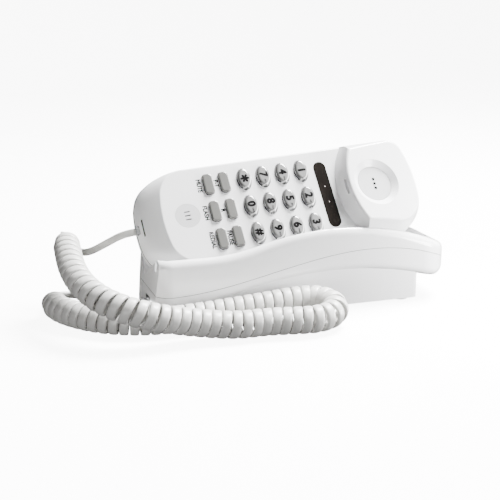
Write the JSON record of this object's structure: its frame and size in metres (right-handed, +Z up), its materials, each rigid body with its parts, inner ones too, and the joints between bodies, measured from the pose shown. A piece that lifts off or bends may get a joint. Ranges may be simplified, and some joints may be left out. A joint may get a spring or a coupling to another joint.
{
  "type": "corded telephone",
  "caption": "Compact white push-button telephone with a keypad handset lying in a boat-shaped base and a curly cord.",
  "frame": {"origin": "centre of the telephone's footprint, cord left out, on the surface its feet stand on", "axes": "+X along the base toward the earpiece end, +Y to the back, +Z up"},
  "size_m": [0.2707, 0.1257, 0.1025],
  "materials": {
    "shell_white": "glossy white ABS",
    "number_keys": "clear domed caps over silver",
    "function_keys": "translucent grey",
    "cord_sheath": "satin off-white PVC",
    "grille_white": "glossy",
    "grille_grey": "satin light grey",
    "steel": "zinc plated",
    "brass": "brushed",
    "circuit_board": "solder resist",
    "rubber_grey": "moulded rubber",
    "foam": "open-cell foam",
    "smoked_lens": "smoked, near black",
    "led": "clear",
    "black_plastic": "moulded",
    "clear_plastic": "clear polycarbonate"
  },
  "bodies": {
    "base": {"ballast_plate": "steel", "base_bottom_cover": "shell_white", "base_circuit_board": "circuit_board", "base_cord_jack": "black_plastic", "base_feet": "rubber_grey", "base_lead": "cord_sheath", "base_plug": "clear_plastic", "base_screws": "steel", "base_top_cover": "shell_white", "curly_coil_1": "cord_sheath", "curly_coil_2": "cord_sheath", "curly_coil_3": "cord_sheath", "curly_coil_4": "cord_sheath", "curly_coil_5": "cord_sheath", "handset_lead": "cord_sheath", "hook_spring": "steel", "hook_switch": "black_plastic", "line_jack": "black_plastic", "ringer": "brass"},
    "handset": {"handset_front_cover": "shell_white", "handset_back_cover": "shell_white", "handset_screws": "steel", "keypad_mat": "rubber_grey", "handset_circuit_board": "circuit_board", "indicator_lens": "smoked_lens", "indicator_leds": "led", "earpiece_disc": "grille_white", "microphone_disc": "grille_grey", "receiver_gasket": "foam", "receiver": "black_plastic", "microphone": "black_plastic", "microphone_boot": "rubber_grey", "handset_cord_jack": "black_plastic", "handset_plug": "clear_plastic"},
    "hook_plunger": {"hook_plunger": "grille_white"},
    "key_0": {"key_0": "number_keys"},
    "key_1": {"key_1": "number_keys"},
    "key_2": {"key_2": "number_keys"},
    "key_3": {"key_3": "number_keys"},
    "key_4": {"key_4": "number_keys"},
    "key_5": {"key_5": "number_keys"},
    "key_6": {"key_6": "number_keys"},
    "key_7": {"key_7": "number_keys"},
    "key_8": {"key_8": "number_keys"},
    "key_9": {"key_9": "number_keys"},
    "key_hash": {"key_hash": "number_keys"},
    "key_star": {"key_star": "number_keys"},
    "flash_key": {"flash_key": "function_keys"},
    "mute_key": {"mute_key": "function_keys"},
    "pause_key": {"pause_key": "function_keys"},
    "recall_key": {"recall_key": "function_keys"},
    "redial_key": {"redial_key": "function_keys"},
    "tone_key": {"tone_key": "function_keys"}
  },
  "joints": [
    {"name": "handset_lift", "type": "slide", "parent": "base", "child": "handset", "axis": [0, 0, 1], "range_m": [0, 0.12]},
    {"name": "hook_press", "type": "slide", "parent": "base", "child": "hook_plunger", "axis": [0, 0, -1], "range_m": [0, 0.003], "stiffness_N_per_m": 250, "deforming": ["hook_spring"]},
    {"name": "key_0_press", "type": "slide", "parent": "handset", "child": "key_0", "axis": [0.0455, 0.8049, -0.5917], "range_m": [0, 0.0012], "stiffness_N_per_m": 900},
    {"name": "key_1_press", "type": "slide", "parent": "handset", "child": "key_1", "axis": [0.0455, 0.8049, -0.5917], "range_m": [0, 0.0012], "stiffness_N_per_m": 900},
    {"name": "key_2_press", "type": "slide", "parent": "handset", "child": "key_2", "axis": [0.0455, 0.8049, -0.5917], "range_m": [0, 0.0012], "stiffness_N_per_m": 900},
    {"name": "key_3_press", "type": "slide", "parent": "handset", "child": "key_3", "axis": [0.0455, 0.8049, -0.5917], "range_m": [0, 0.0012], "stiffness_N_per_m": 900},
    {"name": "key_4_press", "type": "slide", "parent": "handset", "child": "key_4", "axis": [0.0455, 0.8049, -0.5917], "range_m": [0, 0.0012], "stiffness_N_per_m": 900},
    {"name": "key_5_press", "type": "slide", "parent": "handset", "child": "key_5", "axis": [0.0455, 0.8049, -0.5917], "range_m": [0, 0.0012], "stiffness_N_per_m": 900},
    {"name": "key_6_press", "type": "slide", "parent": "handset", "child": "key_6", "axis": [0.0455, 0.8049, -0.5917], "range_m": [0, 0.0012], "stiffness_N_per_m": 900},
    {"name": "key_7_press", "type": "slide", "parent": "handset", "child": "key_7", "axis": [0.0455, 0.8049, -0.5917], "range_m": [0, 0.0012], "stiffness_N_per_m": 900},
    {"name": "key_8_press", "type": "slide", "parent": "handset", "child": "key_8", "axis": [0.0455, 0.8049, -0.5917], "range_m": [0, 0.0012], "stiffness_N_per_m": 900},
    {"name": "key_9_press", "type": "slide", "parent": "handset", "child": "key_9", "axis": [0.0455, 0.8049, -0.5917], "range_m": [0, 0.0012], "stiffness_N_per_m": 900},
    {"name": "key_hash_press", "type": "slide", "parent": "handset", "child": "key_hash", "axis": [0.0455, 0.8049, -0.5917], "range_m": [0, 0.0012], "stiffness_N_per_m": 900},
    {"name": "key_star_press", "type": "slide", "parent": "handset", "child": "key_star", "axis": [0.0455, 0.8049, -0.5917], "range_m": [0, 0.0012], "stiffness_N_per_m": 900},
    {"name": "flash_key_press", "type": "slide", "parent": "handset", "child": "flash_key", "axis": [0.0455, 0.8049, -0.5917], "range_m": [0, 0.0012], "stiffness_N_per_m": 900},
    {"name": "mute_key_press", "type": "slide", "parent": "handset", "child": "mute_key", "axis": [0.0455, 0.8049, -0.5917], "range_m": [0, 0.0012], "stiffness_N_per_m": 900},
    {"name": "pause_key_press", "type": "slide", "parent": "handset", "child": "pause_key", "axis": [0.0455, 0.8049, -0.5917], "range_m": [0, 0.0012], "stiffness_N_per_m": 900},
    {"name": "recall_key_press", "type": "slide", "parent": "handset", "child": "recall_key", "axis": [0.0455, 0.8049, -0.5917], "range_m": [0, 0.0012], "stiffness_N_per_m": 900},
    {"name": "redial_key_press", "type": "slide", "parent": "handset", "child": "redial_key", "axis": [0.0455, 0.8049, -0.5917], "range_m": [0, 0.0012], "stiffness_N_per_m": 900},
    {"name": "tone_key_press", "type": "slide", "parent": "handset", "child": "tone_key", "axis": [0.0455, 0.8049, -0.5917], "range_m": [0, 0.0012], "stiffness_N_per_m": 900}
  ]
}
